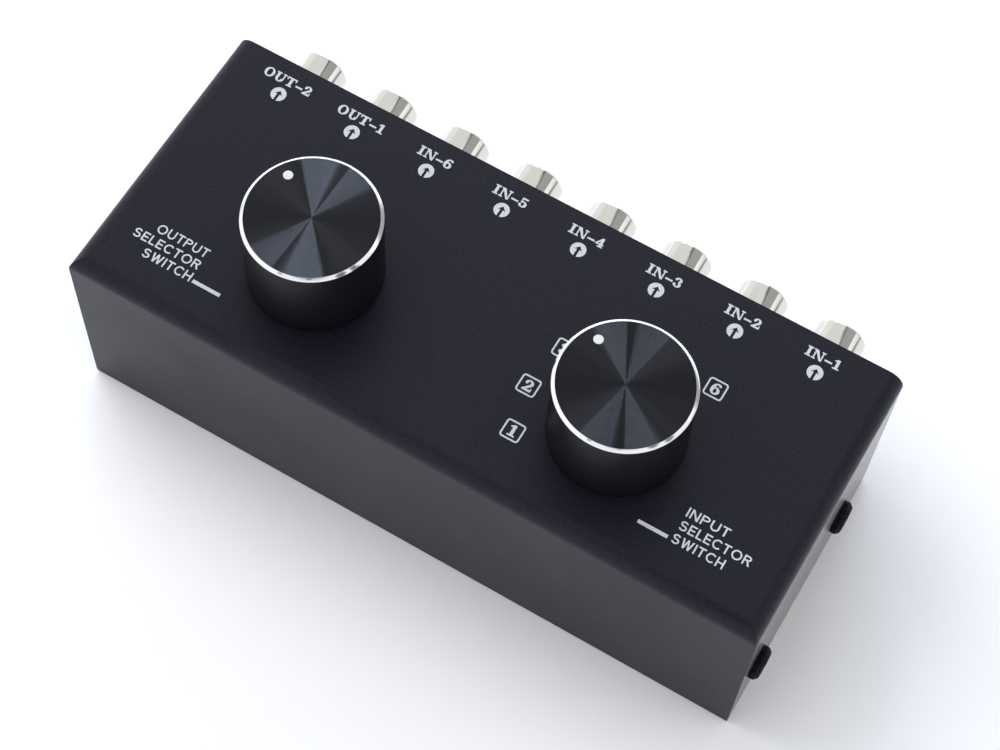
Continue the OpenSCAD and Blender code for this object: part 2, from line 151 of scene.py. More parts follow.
def applyModifiers(piece):
    graph = bpy.context.evaluated_depsgraph_get()
    mesh = bpy.data.meshes.new_from_object(piece.evaluated_get(graph))
    piece.modifiers.clear()
    piece.data = mesh


def paint(piece, finish):
    piece.data.materials.clear()
    piece.data.materials.append(finishes[finish])


def dress(piece, body, slot, *nodes):
    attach(piece, body)
    if nodes:
        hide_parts(*nodes)


def arc(middle, reach, angles):
    return [(middle[0] + reach[0] * math.cos(a), middle[1] + reach[1] * math.sin(a)) for a in angles]


def fullTurn(steps):
    return [2 * math.pi * k / steps for k in range(steps)]


def bridge(bm, low, high, finish=0):
    turns = max(len(low), len(high))
    for k in range(turns):
        n = (k + 1) % turns
        corners = (low[k % len(low)], low[n % len(low)], high[n % len(high)], high[k % len(high)])
        face = bm.faces.new(list(dict.fromkeys(corners)))  # a ring of one point gives triangles
        face.material_index = finish


# shader groups that several finishes share

texture = {
    "grainDetail": 2.0,
    "peelDetail": 1.0,
    "peelShare": 0.8,
    "speckSpan": (0.35, 0.65),   # part of the noise that runs from dark to light
    "cloudDetail": 4.0,
    "cloudRough": 0.62,
    "cloudSpan": (0.3, 0.7),
    "lineDetail": 3.0,
}


def sizedNoise(tree, size, detail, roughness=0.5):
    noise = addNode(tree, "ShaderNodeTexNoise", {
        "Vector": ownPlace(tree), "Scale": scalar(tree, "DIVIDE", 1 / mm, size), "Detail": detail,
        "Roughness": roughness})
    return noise.outputs["Fac"]


def spanOf(tree, value, span, **ends):
    sockets = {"Value": value, "From Min": span[0], "From Max": span[1]}
    sockets.update({"To " + end: level for end, level in ends.items()})
    return addNode(tree, "ShaderNodeMapRange", sockets)


def fineGrainGroup(spec):
    tree, given, out = newGroup(
        "fineGrain", "ShaderNodeTree",
        [("Grain Size", "Float", 0.25), ("Peel Size", "Float", 1.4)],
        [("Height", "Float"), ("Speck", "Float")])
    grain = sizedNoise(tree, given["Grain Size"], spec["grainDetail"])
    peel = sizedNoise(tree, given["Peel Size"], spec["peelDetail"])
    height = scalar(tree, "MULTIPLY_ADD", peel, spec["peelShare"], grain)
    speck = spanOf(tree, grain, spec["speckSpan"])
    setSockets(tree, out, {"Height": height, "Speck": speck.outputs["Result"]})
    return tree


def smudgeGroup(spec):
    tree, given, out = newGroup(
        "smudges", "ShaderNodeTree",
        [("Size", "Float", 18.0), ("Low", "Float", 0.4), ("High", "Float", 0.5)],
        [("Value", "Float")])
    cloud = sizedNoise(tree, given["Size"], spec["cloudDetail"], spec["cloudRough"])
    rub = spanOf(tree, cloud, spec["cloudSpan"], Min=given["Low"], Max=given["High"])
    setSockets(tree, out, {"Value": rub.outputs["Result"]})
    return tree


def fromCentre(tree, given, across):
    shift = vector(tree, "SUBTRACT", ownPlace(tree), given["Centre"])
    return vector(tree, "MULTIPLY", shift, across)


def spunGroup():
    tree, given, out = newGroup(
        "spunLines", "ShaderNodeTree",
        [("Centre", "Vector", None), ("Grit", "Float", 0.01), ("Slope", "Float", 0.3),
         ("Spread", "Float", 0.4)],
        [("Normal", "Vector")])
    flat = fromCentre(tree, given, (1, 1, 0))
    perMetre = scalar(tree, "DIVIDE", 1 / mm, given["Grit"])
    speck = vector(tree, "FLOOR", vector(tree, "SCALE", flat, Scale=perMetre))
    chance = addNode(tree, "ShaderNodeTexWhiteNoise", {"Vector": speck}, noise_dimensions="3D")
    middle = scalar(tree, "SUBTRACT", chance.outputs["Value"], 0.5)
    flank = scalar(tree, "SIGN", middle)  # inner or outer flank of a line
    lean = scalar(tree, "MULTIPLY", middle, given["Spread"])
    slope = scalar(tree, "MULTIPLY_ADD", flank, given["Slope"], lean)
    tip = vector(tree, "SCALE", vector(tree, "NORMALIZE", flat), Scale=slope)
    unit = vector(tree, "NORMALIZE", vector(tree, "ADD", tip, (0, 0, 1)))
    around = addNode(
        tree, "ShaderNodeVectorTransform", {"Vector": unit},
        vector_type="NORMAL", convert_from="OBJECT", convert_to="WORLD")
    setSockets(tree, out, {"Normal": around.outputs["Vector"]})
    return tree


def turnedGroup(spec):
    tree, given, out = newGroup(
        "turnedLines", "ShaderNodeTree",
        [("Centre", "Vector", None), ("Across", "Vector", (1, 1, 0)), ("Pitch", "Float", 0.1)],
        [("Height", "Float")])
    reach = vector(tree, "LENGTH", fromCentre(tree, given, given["Across"]), result="Value")
    pitch = scalar(tree, "MULTIPLY", given["Pitch"], mm)
    lines = addNode(
        tree, "ShaderNodeTexNoise",
        {"W": scalar(tree, "DIVIDE", reach, pitch), "Scale": 1.0, "Detail": spec["lineDetail"]},
        noise_dimensions="1D")
    setSockets(tree, out, {"Height": lines.outputs["Fac"]})
    return tree


fineGrain = fineGrainGroup(texture)
smudges = smudgeGroup(texture)
turnedLines = turnedGroup(texture)
spunLines = spunGroup()


# finishes, one for each material slot of the record

def newFinish(name):
    finish = bpy.data.materials.new(name)
    finish.use_nodes = True
    tree = finish.node_tree
    return finish, tree, tree.nodes["Principled BSDF"]


def useGroup(tree, group, **values):
    node = addNode(tree, "ShaderNodeGroup", node_tree=group)
    setSockets(tree, node, {label.replace("_", " "): value for label, value in values.items()})
    return node.outputs


def mixColours(tree, shader, factor, spec):
    dark, light = (*spec["dark"], 1), (*spec["light"], 1)
    mix = addNode(tree, "ShaderNodeMix", {"Factor": factor, "A": dark, "B": light}, data_type="RGBA")
    setSockets(tree, shader, {"Base Color": mix.outputs["Result"]})


def addSmudges(tree, shader, spec):
    low, high = spec["rough"]
    rub = useGroup(tree, smudges, Size=spec["smudge"], Low=low, High=high)
    setSockets(tree, shader, {"Roughness": rub["Value"]})


def addBump(tree, shader, height, spec):
    bump = addNode(tree, "ShaderNodeBump", {
        "Strength": spec["bump"], "Distance": spec["depth"] * mm, "Height": height})
    setSockets(tree, shader, {"Normal": bump.outputs["Normal"]})


def addSheen(tree, shader, spec):
    facing = addNode(tree, "ShaderNodeLayerWeight").outputs["Facing"]
    weight = spanOf(tree, facing, spec["span"], Max=spec["weight"])
    weight.interpolation_type = "SMOOTHSTEP"
    setSockets(tree, shader, {"Coat Weight": weight.outputs["Result"], "Coat Roughness": spec["rough"]})


def grainyFinish(name, spec):
    finish, tree, shader = newFinish(name)
    grain = useGroup(tree, fineGrain, Grain_Size=spec["grain"], Peel_Size=spec["peel"])
    mixColours(tree, shader, grain["Speck"], spec)
    addSmudges(tree, shader, spec)
    addBump(tree, shader, grain["Height"], spec)
    if "edgeOn" in spec:
        addSheen(tree, shader, spec["edgeOn"])
    setSockets(tree, shader, {
        "Metallic": spec.get("metal", 0.0), "Specular IOR Level": spec.get("gloss", 0.5)})
    return finish


grainy = {
    "black_powder_coat": {
        "dark": (0.0045, 0.0042, 0.0108), "light": (0.0117, 0.0111, 0.0233), "grain": 0.34, "peel": 1.1,
        "smudge": 24.0, "rough": (0.40, 0.47), "bump": 0.7, "depth": 0.028, "gloss": 0.25,
        "edgeOn": {"weight": 0.62, "span": (0.86, 0.95), "rough": 0.16}},  # seen almost along the sheet
    "black_screw": {
        "dark": (0.003, 0.003, 0.0042), "light": (0.016, 0.016, 0.019), "grain": 0.5, "peel": 1.0,
        "smudge": 2.0, "rough": (0.50, 0.65), "bump": 0.9, "depth": 0.12, "gloss": 0.06},
    "white_plastic": {
        "dark": (0.72, 0.71, 0.68), "light": (0.80, 0.79, 0.77), "grain": 0.4, "peel": 3.0,
        "smudge": 4.0, "rough": (0.28, 0.38), "bump": 0.1, "depth": 0.01},
    "red_plastic": {
        "dark": (0.40, 0.012, 0.012), "light": (0.48, 0.018, 0.016), "grain": 0.4, "peel": 3.0,
        "smudge": 4.0, "rough": (0.28, 0.38), "bump": 0.1, "depth": 0.01},
    "black_plastic": {
        "dark": (0.012, 0.012, 0.012), "light": (0.022, 0.022, 0.022), "grain": 0.2, "peel": 1.0,
        "smudge": 5.0, "rough": (0.45, 0.58), "bump": 0.3, "depth": 0.02},
    "natural_plastic": {
        "dark": (0.60, 0.58, 0.50), "light": (0.70, 0.68, 0.60), "grain": 0.3, "peel": 2.0,
        "smudge": 5.0, "rough": (0.40, 0.52), "bump": 0.2, "depth": 0.01},
    "white_paint": {
        "dark": (0.91, 0.91, 0.92), "light": (0.96, 0.96, 0.96), "grain": 0.5, "peel": 0.5,
        "smudge": 3.0, "rough": (0.42, 0.55), "bump": 0.2, "depth": 0.005},
    "print_ink": {
        "dark": (0.70, 0.73, 0.78), "light": (0.80, 0.83, 0.88), "grain": 0.3, "peel": 1.2,
        "smudge": 3.0, "rough": (0.45, 0.60), "bump": 0.2, "depth": 0.005},
    "zinc_casting": {
        "dark": (0.42, 0.41, 0.39), "light": (0.55, 0.54, 0.51), "grain": 0.15, "peel": 0.8,
        "smudge": 4.0, "rough": (0.38, 0.52), "bump": 0.3, "depth": 0.01, "metal": 1.0},
    "phenolic": {
        "dark": (0.16, 0.075, 0.03), "light": (0.27, 0.14, 0.06), "grain": 0.3, "peel": 1.2,
        "smudge": 6.0, "rough": (0.45, 0.6), "bump": 0.2, "depth": 0.01},
}


def drawnMetal(name, spec):
    finish, tree, shader = newFinish(name)
    stretch = addNode(tree, "ShaderNodeMapping", {"Vector": ownPlace(tree), "Scale": spec["lines"]})
    streaks = addNode(tree, "ShaderNodeTexNoise", {
        "Vector": stretch.outputs["Vector"], "Scale": 1 / mm, "Detail": texture["lineDetail"]})
    mixColours(tree, shader, streaks.outputs["Fac"], spec)
    addSmudges(tree, shader, spec)
    addBump(tree, shader, streaks.outputs["Fac"], spec)
    setSockets(tree, shader, {"Metallic": 1.0})
    return finish


drawn = {
    "nickel_plate": {
        "dark": (0.66, 0.64, 0.58), "light": (0.76, 0.74, 0.67), "lines": (6, 0.4, 6),
        "smudge": 3.0, "rough": (0.06, 0.10), "bump": 0.05, "depth": 0.004},
    "contact_brass": {
        "dark": (0.55, 0.38, 0.14), "light": (0.72, 0.53, 0.24), "lines": (5, 0.5, 5),
        "smudge": 3.0, "rough": (0.22, 0.34), "bump": 0.15, "depth": 0.004},
    "spring_steel": {
        "dark": (0.50, 0.48, 0.43), "light": (0.62, 0.60, 0.54), "lines": (3, 3, 12),
        "smudge": 3.0, "rough": (0.28, 0.40), "bump": 0.2, "depth": 0.004},
    "steel": {
        "dark": (0.50, 0.50, 0.49), "light": (0.63, 0.63, 0.61), "lines": (1, 1, 14),
        "smudge": 3.0, "rough": (0.26, 0.38), "bump": 0.2, "depth": 0.004},
}
board = {
    "Color1": (0.012, 0.10, 0.045, 1), "Color2": (0.016, 0.13, 0.055, 1), "Mortar": (0.03, 0.21, 0.085, 1),
    "Mortar Size": 0.35, "Brick Width": 9.0, "Row Height": 2.54,  # mm, traces between strips
}
boardWear = {"smudge": 8.0, "rough": (0.25, 0.4), "bump": 0.3, "depth": 0.02}
ribbon = {
    "dark": (0.28, 0.28, 0.30), "light": (0.44, 0.44, 0.46), "smudge": 6.0, "rough": (0.42, 0.55),
    "pitch": 1.27,   # mm from wire to wire
    "waveUnits": 20,  # units to a turn of the wave texture
}


def boardFinish(name, spec, wear):
    finish, tree, shader = newFinish(name)
    traces = addNode(tree, "ShaderNodeTexBrick", {"Vector": ownPlace(tree), "Scale": 1 / mm, **spec})
    setSockets(tree, shader, {"Base Color": traces.outputs["Color"]})
    addSmudges(tree, shader, wear)
    addBump(tree, shader, traces.outputs["Fac"], wear)
    return finish


def ribbonFinish(name, spec):
    finish, tree, shader = newFinish(name)
    scale = 1 / (spec["waveUnits"] * spec["pitch"] * mm)
    wires = addNode(
        tree, "ShaderNodeTexWave", {"Vector": ownPlace(tree), "Scale": scale}, bands_direction="X")
    mixColours(tree, shader, wires.outputs["Fac"], spec)
    addSmudges(tree, shader, spec)
    return finish


finishes = {name: grainyFinish(name, spec) for name, spec in grainy.items()}
finishes.update({name: drawnMetal(name, spec) for name, spec in drawn.items()})
finishes["circuit_board"] = boardFinish("circuit_board", board, boardWear)
finishes["ribbon_grey"] = ribbonFinish("ribbon_grey", ribbon)


# knob finishes: smooth dyed side, bright cut rim and spun top

knobLook = {
    "Side": {
        "dark": (0.005, 0.005, 0.008), "light": (0.009, 0.009, 0.013), "across": (0, 0, 1), "pitch": 0.25,
        "smudge": 9.0, "rough": (0.38, 0.44), "bump": 0.08, "depth": 0.004, "metal": 0.0, "gloss": 0.16},
    "Rim": {
        "dark": (0.90, 0.90, 0.91), "light": (0.97, 0.97, 0.98), "across": (1, 1, 0), "pitch": 0.06,
        "smudge": 3.0, "rough": (0.05, 0.08), "bump": 0.15, "depth": 0.004, "metal": 1.0, "gloss": 0.5},
    "Top": {
        "dark": (0.025, 0.026, 0.031), "light": (0.033, 0.034, 0.039), "across": (1, 1, 0), "pitch": 0.3,
        "smudge": 7.0, "rough": (0.05, 0.07), "metal": 1.0, "gloss": 0.5,
        "grit": 0.01,   # mm, the smallest facet of the spun lines
        "slope": 0.28,
        "spread": {"output": 0.6, "input": 0.95},
        # painted shade: the input knob's top is a darker copy of the same spun finish, standing in for less window
        # light there
        "shade": {"output": 1.0, "input": 0.85}},
}


def knobFinish(side, zone, centre):
    finish, tree, shader = newFinish(side + "Knob" + zone)
    spec = knobLook[zone]
    lines = useGroup(tree, turnedLines, Centre=centre, Across=spec["across"], Pitch=spec["pitch"])
    # painted shade: the top's dark and light colours are scaled down on the input knob
    shade = spec["shade"][side] if "shade" in spec else 1.0
    tones = {tone: [c * shade for c in spec[tone]] for tone in ("dark", "light")}
    mixColours(tree, shader, lines["Height"], tones)
    addSmudges(tree, shader, spec)
    setSockets(tree, shader, {"Metallic": spec["metal"], "Specular IOR Level": spec["gloss"]})
    if "grit" in spec:
        facets = useGroup(tree, spunLines, Centre=centre, Grit=spec["grit"], Slope=spec["slope"],
                          Spread=spec["spread"][side])
        setSockets(tree, shader, {"Normal": facets["Normal"]})
    else:
        addBump(tree, shader, lines["Height"], spec)
    return finish


for node, piece in frame["nodes"].items():  # the pieces inside the case keep their solids
    for spot in piece.material_slots:
        spot.material = finishes.get(slotOf[node], finishes["black_plastic"])
print("finishes made:", len(finishes))


# turned pieces: an outline of (radius, height, corner radius, finish of the stretch that follows)

cornerShare = 0.48  # most of an edge that one rounded corner may take


def softOutline(corners, closed, steps):
    points = []
    count = len(corners)
    for i, (r, h, soft, finish) in enumerate(corners):
        here = Vector((r, h))
        atEnd = not closed and i in (0, count - 1)
        if soft == 0 or atEnd:
            points.append((r, h, finish))
            continue
        before = Vector(corners[i - 1][:2]) - here
        after = Vector(corners[(i + 1) % count][:2]) - here
        half = before.angle(after) / 2
        reach = min(soft / math.tan(half), before.length * cornerShare, after.length * cornerShare)
        middle = here + (before.normalized() + after.normalized()).normalized() * reach / math.cos(half)
        start = here + before.normalized() * reach - middle
        finish0 = corners[i - 1][3]
        sweep = start.angle_signed(here + after.normalized() * reach - middle)
        for k in range(steps + 1):
            turn = Matrix.Rotation(-sweep * k / steps, 2)
            spot = middle + turn @ start
            points.append((spot.x, spot.y, finish if k == steps else finish0))
    return points


def lathe(name, corners, finishList, closed=False, turns=96, steps=4):
    bm = bmesh.new()
    outline = softOutline(corners, closed, steps)
    rings = []
    for r, h, _ in outline:
        ring = arc((0, 0), (r, r), fullTurn(turns)) if r > 0 else [(0, 0)]
        rings.append([bm.verts.new((x, y, h)) for x, y in ring])
    last = len(rings) if closed else len(rings) - 1
    for i in range(last):
        bridge(bm, rings[i], rings[(i + 1) % len(rings)], outline[i][2])
    bmesh.ops.recalc_face_normals(bm, faces=bm.faces)
    mesh = meshOf(bm, name)
    for finish in finishList:
        mesh.materials.append(finish)
    return mesh


# folded cover: a skin with rounded front and end folds, thickened inwards

cover = {
    "sheet": 1.0,      # mm
    "foldRadius": 2.7,
    "foldSteps": 14,
    "edgeSoft": 0.14,  # at most: the shortest edge of the sheet sets how far its edges are eased
    "bushHole": 9.4,
    "screwHole": 3.4,
    "cutReach": 3,     # sheets, to each side of a hole's start
}


def foldStations(start, direction, radius, steps):
    places = []
    for k in range(steps + 1):
        a = math.pi / 2 * k / steps
        places.append((start + direction * radius * (1 - math.cos(a)), radius * (math.sin(a) - 1)))
    return places


def coverSkin(spec):
    bm = bmesh.new()
    radius = spec["foldRadius"] * mm
    steps = spec["foldSteps"]
    left = foldStations(coverLow.x, 1, radius, steps)
    right = foldStations(coverHigh.x, -1, radius, steps)[::-1]
    across = left + right
    along = foldStations(coverLow.y, 1, radius, steps) + [(coverHigh.y, 0.0)]
    grid = [[bm.verts.new((x, y, caseTop + min(zx, zy))) for y, zy in along] for x, zx in across]
    nx, ny = len(across), len(along)
    for i in range(nx - 1):
        for j in range(ny - 1):
            a, b, c, d = grid[i][j], grid[i + 1][j], grid[i + 1][j + 1], grid[i][j + 1]
            if i == j and i < steps:                        # left mitre
                bm.faces.new((a, b, c))
                bm.faces.new((a, c, d))
            elif nx - 2 - i == j and j < steps:             # right mitre
                bm.faces.new((a, b, d))
                bm.faces.new((b, c, d))
            else:
                bm.faces.new((a, b, c, d))
    rim = [grid[0][j] for j in range(ny - 1, -1, -1)]
    rim += [grid[i][0] for i in range(1, nx)]
    rim += [grid[nx - 1][j] for j in range(1, ny)]
    foot = [bm.verts.new((v.co.x, v.co.y, coverLow.z)) for v in rim]
    for k in range(len(rim) - 1):
        bm.faces.new((rim[k], foot[k], foot[k + 1], rim[k + 1]))
    bmesh.ops.recalc_face_normals(bm, faces=bm.faces)
    if max(bm.faces, key=lambda f: f.calc_center_median().z).normal.z < 0:
        bmesh.ops.reverse_faces(bm, faces=bm.faces)
    return meshOf(bm, "coverShell", sharpAngle=30)


def cutter(name, wide, deep, places):
    bm = bmesh.new()
    radius = wide / 2 * mm
    for place in places:
        bmesh.ops.create_cone(
            bm, cap_ends=True, segments=64, radius1=radius, radius2=radius, depth=2 * deep, matrix=place)
    return linkPiece(name, meshOf(bm, name))


def combine(piece, tool, operation):
    join = piece.modifiers.new("combine", "BOOLEAN")
    join.operation = operation
    join.solver = "EXACT"
    join.object = tool
    applyModifiers(piece)
    bpy.data.objects.remove(tool)


def easeEdges(piece, width, angle=50):
    bevel = piece.modifiers.new("ease", "BEVEL")
    bevel.width = width * mm
    bevel.segments = 2
    bevel.limit_method = "ANGLE"
    bevel.angle_limit = math.radians(angle)
    normals = piece.modifiers.new("normals", "WEIGHTED_NORMAL")
    normals.keep_sharp = True
    applyModifiers(piece)


knobAxis = {j["child"].split("_")[0]: Vector(j["pos_m"]) for j in frame["joints"]}
screwLow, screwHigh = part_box("end_screws")


def screwPlaces():
    head = (screwHigh.z - screwLow.z) / 2  # head radius
    middle = (screwLow.z + screwHigh.z) / 2
    for side, x in ((-1, coverLow.x), (1, coverHigh.x)):
        for y in (screwLow.y + head, screwHigh.y - head):
            yield Matrix.Translation((x, y, middle)) @ Matrix.Rotation(side * math.pi / 2, 4, "Y")


def makeCover(spec):
    piece = linkPiece("coverShell", coverSkin(spec))
    wall = piece.modifiers.new("wall", "SOLIDIFY")
    wall.thickness = spec["sheet"] * mm
    wall.offset = -1
    wall.use_even_offset = True
    applyModifiers(piece)
    bushes = [Matrix.Translation((axis.x, axis.y, caseTop)) for axis in knobAxis.values()]
    deep = spec["cutReach"] * spec["sheet"] * mm
    for name, places in (("bushHole", bushes), ("screwHole", screwPlaces())):
        combine(piece, cutter(name, spec[name], deep, places), "DIFFERENCE")
    easeEdges(piece, spec["edgeSoft"])
    paint(piece, "black_powder_coat")
    dress(piece, "case", "black_powder_coat", "top_cover")


makeCover(cover)
print("cover made")


# base tray: its own solid with the cut edges eased

tray = {"edgeSoft": 0.12, "flatAngle": 0.5}  # mm at most, and degrees


def makeTray(spec):
    bm = bmesh.new()
    bm.from_mesh(frame["nodes"]["base_tray"].data)
    bmesh.ops.remove_doubles(bm, verts=bm.verts, dist=1e-6)
    bmesh.ops.dissolve_limit(
        bm, angle_limit=math.radians(spec["flatAngle"]), verts=bm.verts, edges=bm.edges)
    piece = linkPiece("trayShell", meshOf(bm, "trayShell"))
    easeEdges(piece, spec["edgeSoft"])
    paint(piece, "black_powder_coat")
    dress(piece, "case", "black_powder_coat", "base_tray")


makeTray(tray)
print("tray made")


# knobs and their pointer dots

knob = {
    "rimWide": 0.53,   # mm, the bright rim seen from above
    "rimTall": 0.45,
    "crisp": 0.04,     # corner radius of the cut rim
    "skirtSoft": 0.3,
    "recess": 18.0,
    "dotRise": 0.05,
    "dotFlat": 0.8,    # part of the dot's radius under its crown
}


def makeKnob(side, spec):
    low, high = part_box(side + "_knob")
    coreLow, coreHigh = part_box(side + "_knob_core")
    axis = knobAxis[side]
    radius = (high.x - low.x) / 2
    core = (coreHigh.x - coreLow.x) / 2
    wide, tall = spec["rimWide"] * mm, spec["rimTall"] * mm
    crisp = spec["crisp"] * mm
    soft = spec["skirtSoft"] * mm
    recess = spec["recess"] / 2 * mm
    outline = [
        (0, coreHigh.z, 0, 0), (core, coreHigh.z, 0, 0), (core, coreLow.z, 0, 0), (recess, coreLow.z, 0, 0),
        (recess, low.z, crisp, 0), (radius, low.z, soft, 0), (radius, high.z - tall, crisp, 1),
        (radius - wide, high.z, crisp, 2), (0, high.z, 0, 2),
    ]
    looks = [knobFinish(side, zone, tuple(axis)) for zone in knobLook]
    mesh = lathe(side + "KnobSkin", outline, looks, turns=192)
    mesh.transform(Matrix.Translation((axis.x, axis.y, 0)))
    dress(linkPiece(side + "KnobSkin", mesh), side + "_selector", "black_anodised", side + "_knob")


def makeDot(side, spec):
    low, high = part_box(side + "_pointer")
    radius = (high.x - low.x) / 2
    rise = spec["dotRise"] * mm
    outline = [(0, low.z, 0, 0), (radius, low.z, 0, 0), (radius, high.z, rise, 0),
               (radius * spec["dotFlat"], high.z + rise, rise, 0), (0, high.z + rise, 0, 0)]
    mesh = lathe(side + "Dot", outline, [finishes["white_paint"]], turns=48)
    mesh.transform(Matrix.Translation(((low.x + high.x) / 2, (low.y + high.y) / 2, 0)))
    dress(linkPiece(side + "Dot", mesh), side + "_selector", "white_paint", side + "_pointer")


for side in knobAxis:
    makeKnob(side, knob)
    makeDot(side, knob)
print("knobs made")


# repeating pieces: geometry node trees that set out copies of one part

def newLayout(name, *inputs):
    shared = [("Part", "Object", None), ("Finish", "Material", None)]
    tree, given, out = newGroup(name, "GeometryNodeTree", [*inputs, *shared], [("Geometry", "Geometry")])
    part = addNode(tree, "GeometryNodeObjectInfo", {"Object": given["Part"]})
    return tree, given, out, part.outputs["Geometry"]


def line(tree, count, offset, start=(0, 0, 0)):
    sockets = {"Count": count, "Start Location": start, "Offset": offset}
    return addNode(tree, "GeometryNodeMeshLine", sockets).outputs["Mesh"]


def copies(tree, points, part, turn=(0, 0, 0)):
    sockets = {"Points": points, "Instance": part, "Rotation": turn}
    return addNode(tree, "GeometryNodeInstanceOnPoints", sockets).outputs["Instances"]


def paintCopies(tree, given, out, geometry):
    plain = addNode(tree, "GeometryNodeRealizeInstances", {"Geometry": geometry})
    coat = addNode(tree, "GeometryNodeSetMaterial", {
        "Geometry": plain.outputs["Geometry"], "Material": given["Finish"]})
    setSockets(tree, out, {"Geometry": coat.outputs["Geometry"]})
    return tree


def rowsTree():
    tree, given, out, part = newLayout(
        "jackRows", ("Count", "Int", 8), ("Start", "Vector", None), ("Step", "Vector", None),
        ("Rows", "Int", 2), ("Row Step", "Vector", None))
    row = copies(tree, line(tree, given["Count"], given["Step"], given["Start"]), part)
    stack = copies(tree, line(tree, given["Rows"], given["Row Step"]), row)
    return paintCopies(tree, given, out, stack)


def endsTree():
    tree, given, out, part = newLayout(
        "endScrews", ("Left", "Vector", None), ("Right", "Vector", None), ("Step", "Vector", None))
    both = addNode(tree, "GeometryNodeJoinGeometry")
    for end, turn in (("Left", -math.pi / 2), ("Right", math.pi / 2)):
        pair = line(tree, 2, given["Step"], given[end])
        setSockets(tree, both, {"Geometry": copies(tree, pair, part, (0, turn, 0))})
    return paintCopies(tree, given, out, both.outputs["Geometry"])


def spotsTree():
    tree, given, out, part = newLayout("markSpots", ("Spots", "Geometry", None))
    return paintCopies(tree, given, out, copies(tree, given["Spots"], part))


def layOut(name, tree, part, places=(), **values):
    base = bpy.data.meshes.new(name)
    base.from_pydata([(x * mm, y * mm, 0) for x, y in places], [], [])
    piece = linkPiece(name, base)
    source = linkPiece(name + "Part", part)
    if not part.materials:
        part.materials.append(values["Finish"])
    values["Part"] = source
    nodes = piece.modifiers.new("layOut", "NODES")
    nodes.node_group = tree
    for item in tree.interface.items_tree:
        label = item.name.replace(" ", "_")
        if item.in_out == "INPUT" and label in values:
            nodes[item.identifier] = values[label]
    applyModifiers(piece)
    bpy.data.objects.remove(source)
    return piece


rows = rowsTree()
ends = endsTree()
spots = spotsTree()


# phono jacks: shells, coloured inserts and the contact sleeves inside

jack = {
    "bore": 7.0,        # mm, inside a shell
    "collar": 9.2,
    "sheet": 1.0,
    "setback": 0.6,     # insert's face behind the shell's mouth
    "faceThickness": 1.6,
    "guide": 4.2,
    "funnel": 0.35,
    "sleeveOut": 4.6,
    "sleeveBore": 3.2,
    "sleeveLength": 5.0,
    "play": 0.03,       # between an insert and the metal around and inside it
    "soft": 0.14,
}
channels = [n.removeprefix("jack_shells_") for n in record["behaviour"]["bodies"]["case"]
            if n.startswith("jack_shells_")]


def jackLayout():
    first = Vector(mounts[channels[0] + "_left_shell"]["pos_m"])
    second = Vector(mounts[channels[1] + "_left_shell"]["pos_m"])
    below = Vector(mounts[channels[0] + "_right_shell"]["pos_m"])
    return Vector((first.x, 0, first.z)), second - first, below - first


def setOutJacks(name, slot, outline, nodes, turns, **layout):
    finish = finishes[slot]
    part = lathe(name + "Part", outline, [finish], closed=True, turns=turns)
    part.transform(Matrix.Rotation(-math.pi / 2, 4, "X"))  # towards the back
    piece = layOut(name, rows, part, Count=len(channels), Finish=finish, **layout)
    dress(piece, "case", slot, *nodes)


def makeJacks(spec):
    start, step, drop = jackLayout()
    bothRows = {"Start": start, "Step": step, "Rows": 2, "Row_Step": drop}
    low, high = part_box("jack_shells_" + channels[0])
    flange = (high.x - low.x) / 2
    pin = mounts[channels[0] + "_left_shell"]["dims"]
    shell = pin["r_mm"] * mm
    back = trayHigh.y
    chamfer = high.y - back - pin["length_mm"] * mm
    bore, collar, guide, sleeve, hole = [
        spec[wide] / 2 * mm for wide in ("bore", "collar", "guide", "sleeveOut", "sleeveBore")]
    soft = spec["soft"] * mm
    panel = back - spec["sheet"] * mm
    outline = [
        (bore, low.y, 0, 0), (flange, low.y, soft, 0), (flange, panel, soft, 0), (collar, panel, 0, 0),
        (collar, back, soft, 0), (shell, back, 0, 0), (shell, high.y - chamfer, soft * 2, 0),
        (shell - chamfer, high.y, soft, 0), (bore, high.y, soft / 2, 0),
    ]
    shells = ["jack_shells_" + c for c in channels]
    setOutJacks("jackShells", "nickel_plate", outline, shells, turns=80, **bothRows)
    face = high.y - spec["setback"] * mm
    seat = face - spec["faceThickness"] * mm
    funnel = spec["funnel"] * mm
    tight = bore - spec["play"] * mm
    pocket = sleeve + spec["play"] * mm
    outline = [
        (pocket, low.y, 0, 0), (tight, low.y, 0, 0), (tight, face, soft, 0),
        (guide + funnel, face, soft / 2, 0), (guide, face - funnel, soft / 2, 0), (guide, seat, 0, 0),
        (pocket, seat, 0, 0),
    ]
    for colour, node, at in (("white", "upper_inserts", start), ("red", "lower_inserts", start + drop)):
        setOutJacks(colour + "Inserts", colour + "_plastic", outline, [node], turns=64,
                    Start=at, Step=step, Rows=1)
    end = seat - spec["sleeveLength"] * mm
    outline = [
        (hole, end, soft, 0), (sleeve, end, soft, 0), (sleeve, seat, soft, 0), (hole, seat, soft * 2, 0)]
    setOutJacks("contactSleeves", "contact_brass", outline, ["jack_contacts"], turns=48, **bothRows)


makeJacks(jack)
print("jacks made:", 2 * len(channels))


# end screws: pan heads with a cross recess

screw = {
    "shank": 2.9,       # mm
    "head": 5.8,
    "headHeight": 1.6,
    "rim": 0.85,        # straight part of the head's edge
    "flat": 0.8,        # part of the head that is nearly flat on top
    "flatHeight": 0.95,  # where that part starts, of the head's height
    "tipSoft": 0.2,     # corner radii, from the tip to the crown
    "seatSoft": 0.1,
    "rimSoft": 0.3,
    "crownSoft": 0.6,
    "recess": 4.6,
    "recessFoot": 0.55,  # part of the recess's reach that is left at its floor
    "slotWide": 1.1,
    "slotNarrow": 0.7,
    "recessDepth": 0.9,
    "cutOver": 0.2,
    "cutSoft": 0.05,
    "length": 4.0,
}


